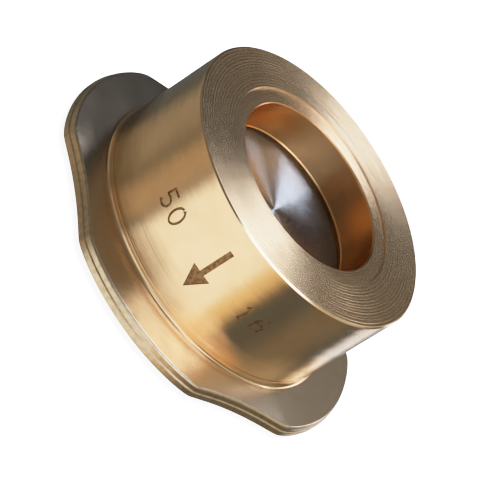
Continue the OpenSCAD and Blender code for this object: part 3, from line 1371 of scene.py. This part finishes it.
@dataclass
class Studio:
    """The floor, the light and the camera. Angles are in degrees and lengths in metres.

    Attributes:
        gloom: Light from below, where no panel shows.
        ceiling: Light from above, where no panel shows.
        gloom_span: Elevations between which the one turns into the other.
        overhead_azimuth: Direction in which the overhead strip climbs.
        overhead_half: Half of its width low down.
        overhead_flare: How much that grows higher up.
        overhead_lean: How far it leans over there.
        overhead_bend: Climb between which it flares and leans.
        overhead_start: Climb between which it comes in.
        overhead_end: Climb between which it goes out, backwards.
        overhead_fade: Half of the width over which its sides fade.
        overhead_glow: Its light.
        backdrop: Light of the plain backdrop that the camera sees.
        floor_w: Width of the floor.
        floor_shade: How pale the floor is.
        floor_glow: Light that the floor gives off.
        lamp_w: Width of the lamp over the floor.
        lamp_power: Its power, in watts.
        lamp_h: Its height.
        film_range: Brightest light that the film's curve takes in.
        film_white: Light that shows as white.
        film_curve: Light and what it shows as, along the soft shoulder.
        focal_length: Focal length of the lens, in millimetres.
        clip: Nearest and furthest distance that the camera sees.
        view_turn: Azimuth and elevation of the camera, and its roll.
        view_target: Point in the middle of its view.
        view_distance: Distance from there.
        panel_fade: Half of the angle over which a panel's top and bottom fade.
        panels: The panels. A later one covers an earlier one.
    """

    gloom: tuple[float, float, float] = (0.09, 0.105, 0.11)
    ceiling: tuple[float, float, float] = (0.19, 0.19, 0.19)
    gloom_span: tuple[float, float] = (-60, 60)
    overhead_azimuth: float = 83.5
    overhead_half: float = 6.5
    overhead_flare: float = 5.0
    overhead_lean: float = 9.0
    overhead_bend: tuple[float, float] = (58, 75)
    overhead_start: tuple[float, float] = (42, 50)
    overhead_end: tuple[float, float] = (88, 82)
    overhead_fade: float = 2.0
    overhead_glow: tuple[float, float, float] = (5.6, 6.0, 7.2)
    backdrop: float = 3.0
    floor_w: float = 8.0
    floor_shade: float = 0.8
    floor_glow: float = 1.6
    lamp_w: float = 1.6
    lamp_power: float = 60
    lamp_h: float = 1.5
    film_range: float = 4.0
    film_white: float = 3.0
    film_curve: tuple[tuple[float, float], ...] = (
        (0.3, 0.3), (0.6, 0.56), (0.95, 0.76), (1.4, 0.89), (2.1, 0.96)
    )
    focal_length: float = 239.6
    clip: tuple[float, float] = (0.01, 20)
    view_turn: tuple[float, float, float] = (-95.113, 29.878, 57.33)
    view_target: tuple[float, float, float] = (0.00159, -0.00315, 0.01479)
    view_distance: float = 0.83445
    panel_fade: float = 4.0
    panels: tuple[Panel, ...] = (
        Panel(180, 40, 6, -90, 12, (0.32, 0.29, 0.25)),
        Panel(-176, 6, 6, -90, 12, (0.18, 0.17, 0.15)),
        Panel(-157, 12, 5, -90, 12, (0.48, 0.38, 0.29)),
        Panel(5, 18, 10, -90, 5, (0.2, 0.18, 0.15)),
        Panel(-96, 41, 6, -90, 12, (1.5, 1.5, 1.55)),
        Panel(-54, 7, 5, -90, 12, (1.15, 0.85, 0.5)),
        Panel(51, 6, 3, -90, 12, (1.9, 2.0, 2.4)),
        Panel(66, 9, 6, -90, 5, (0.4, 0.41, 0.44)),
        Panel(-38, 34, 10, 12, 33, (1.7, 1.15, 0.65)),
        Panel(-58, 38, 10, 33, 52, (3.4, 3.9, 5.4)),
        Panel(10, 24, 8, 12, 50, (0.6, 0.6, 0.58)),
        Panel(112, 28, 5, 8, 60, (0.04, 0.045, 0.05)),
        Panel(56, 24, 6, 12, 60, (0.2, 0.175, 0.14)),
        Panel(50, 5, 3, 12, 45, (3.4, 3.3, 3.4)),
    )

    def light(self) -> None:
        """Builds the world that the metal mirrors; behind the object the camera sees plain white."""
        world = bpy.data.worlds.new("studio")
        bpy.context.scene.world = world
        world.use_nodes = True
        graph = Graph(world.node_tree)
        way = graph.arrow("ShaderNodeTexCoord", out="Generated").unit()
        height = way.dot((0, 0, 1))
        elevation = height.maths("ARCSINE") * math.degrees(1)
        glow = graph.blend(elevation.smooth(*self.gloom_span), self.gloom, self.ceiling)
        for panel in self.panels:
            glow = graph.blend(self._mask(panel, way, elevation), glow, panel.glow)
        glow = graph.blend(self._overhead(way), glow, self.overhead_glow)
        seen = graph.wire("ShaderNodeLightPath", out="Is Camera Ray")
        glow = graph.blend(seen, glow, (self.backdrop,) * 3)
        shader = graph.node("ShaderNodeBackground", inputs={"Color": glow})
        graph.node("ShaderNodeOutputWorld", inputs={"Surface": shader.outputs[0]})

    def _mask(self, panel: Panel, way: Arrow, elevation: Wire) -> Wire:
        """How much of a panel shows in a direction.

        Args:
            panel: The panel.
            way: The direction.
            elevation: Its elevation in degrees.

        Returns:
            The share, from 0 to 1.
        """
        turn = math.radians(panel.azimuth)
        flat = way.masked((1, 1, 0)).unit()
        away = flat.dot((math.cos(turn), math.sin(turn), 0)).maths("ARCCOSINE") * math.degrees(1)
        sides = away.smooth(panel.half_width + panel.edge, panel.half_width - panel.edge)
        fade = self.panel_fade
        top = elevation.smooth(panel.high + fade, panel.high - fade)
        bottom = elevation.smooth(panel.low - fade, panel.low + fade)
        return sides * top * bottom

    def _overhead(self, way: Arrow) -> Wire:
        """The overhead softbox, a strip that climbs from the far side and leans over higher up.

        Args:
            way: The direction.

        Returns:
            How much of the strip shows there, from 0 to 1.
        """
        turn = math.radians(self.overhead_azimuth)
        ahead = (math.cos(turn), math.sin(turn), 0)
        climb = way.dot((0, 0, 1)).maths("ARCTAN2", way.dot(ahead)) * math.degrees(1)
        aside = way.dot((-math.sin(turn), math.cos(turn), 0)).maths("ARCSINE") * math.degrees(1)
        upper = climb.smooth(*self.overhead_bend)
        off_centre = abs(aside + upper * self.overhead_lean)
        half = upper * self.overhead_flare + self.overhead_half
        sides = off_centre.smooth(half + self.overhead_fade, half - self.overhead_fade)
        return sides * climb.smooth(*self.overhead_start) * climb.smooth(*self.overhead_end)

    def floor(self) -> None:
        """Lays a plain pale floor that takes a faint shadow and doesn't show in the metal."""
        level = levels("body")[0] * MM
        bpy.ops.mesh.primitive_plane_add(size=self.floor_w, location=(0, 0, level))
        ground = bpy.context.object
        ground.name = "floor"
        made = bpy.data.materials.new("pale_floor")
        made.use_nodes = True
        graph = Graph(made.node_tree)
        shadow = graph.node("ShaderNodeBsdfDiffuse", inputs={"Color": _rgba((self.floor_shade,) * 3)})
        glow = graph.node("ShaderNodeEmission", inputs={"Color": (1, 1, 1, 1), "Strength": self.floor_glow})
        both = graph.node("ShaderNodeAddShader", inputs={0: shadow.outputs[0], 1: glow.outputs[0]})
        below = graph.node("ShaderNodeBsdfTransparent")
        facing = graph.wire("ShaderNodeNewGeometry", out="Backfacing")
        mixed = graph.node("ShaderNodeMixShader", inputs={0: facing, 1: both.outputs[0], 2: below.outputs[0]})
        graph.node("ShaderNodeOutputMaterial", inputs={"Surface": mixed.outputs[0]})
        ground.data.materials.append(made)
        ground.visible_glossy = False
        ground.visible_shadow = False
        ground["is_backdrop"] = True

    def wash(self) -> None:
        """Hangs a wide soft lamp that lights the floor only."""
        lamp = bpy.data.lights.new("floor_wash", "AREA")
        lamp.shape = "DISK"
        lamp.size = self.lamp_w
        lamp.energy = self.lamp_power
        hung = bpy.data.objects.new("floor_wash", lamp)
        hung.location = (0, 0, self.lamp_h)
        hung.visible_glossy = False
        bpy.context.scene.collection.objects.link(hung)

    def film(self) -> None:
        """Sets a plain view with a soft shoulder, so that bright metal pales instead of clipping."""
        view = bpy.context.scene.view_settings
        view.view_transform = "Standard"
        view.use_curve_mapping = True
        mapping = view.curve_mapping
        mapping.clip_max_x = self.film_range
        curve = mapping.curves[3]
        curve.points[1].location = (self.film_white, 1.0)
        for bright, shown in self.film_curve:
            curve.points.new(bright, shown)
        mapping.update()

    def camera(self) -> None:
        """Sets up the camera: it looks down on the inlet, rolled so that the axis leans over."""
        lens = bpy.data.cameras.new("camera")
        lens.lens = self.focal_length
        lens.clip_start, lens.clip_end = self.clip
        holder = bpy.data.objects.new("camera", lens)
        bpy.context.scene.collection.objects.link(holder)
        azimuth, elevation, roll = map(math.radians, self.view_turn)
        flat = math.cos(elevation)
        back = Vector((math.cos(azimuth) * flat, math.sin(azimuth) * flat, math.sin(elevation)))
        level_right = Vector((-math.sin(azimuth), math.cos(azimuth), 0))
        level_up = back.cross(level_right)
        up = level_up * math.cos(roll) - level_right * math.sin(roll)
        right = up.cross(back)
        target = Vector(self.view_target)
        turned = Matrix((right, up, back)).transposed().to_4x4()
        holder.matrix_world = Matrix.Translation(target + back * self.view_distance) @ turned
        bpy.context.scene.camera = holder

    def build(self) -> None:
        """Sets up the whole studio."""
        self.light()
        self.wash()
        self.floor()
        self.film()
        self.camera()


def write_sizes() -> None:
    """Works out the CAD box and the box of what is shown, as plain lists."""
    boxes = {"cad": CAD_BOX, "visual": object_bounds()}
    plain = {name: [list(low), list(high)] for name, (low, high) in boxes.items()}


def main() -> None:
    """Builds and dresses each piece, then the studio."""
    logging.basicConfig(level=logging.INFO, format="%(name)s: %(message)s")
    for maker in (ValveBody(), SealingDisc(), ClosingSpring(), SpringRetainer(), RetainingRing()):
        maker.dress(maker.build())
    Studio().build()
    write_sizes()


if __name__ == "__main__":
    main()
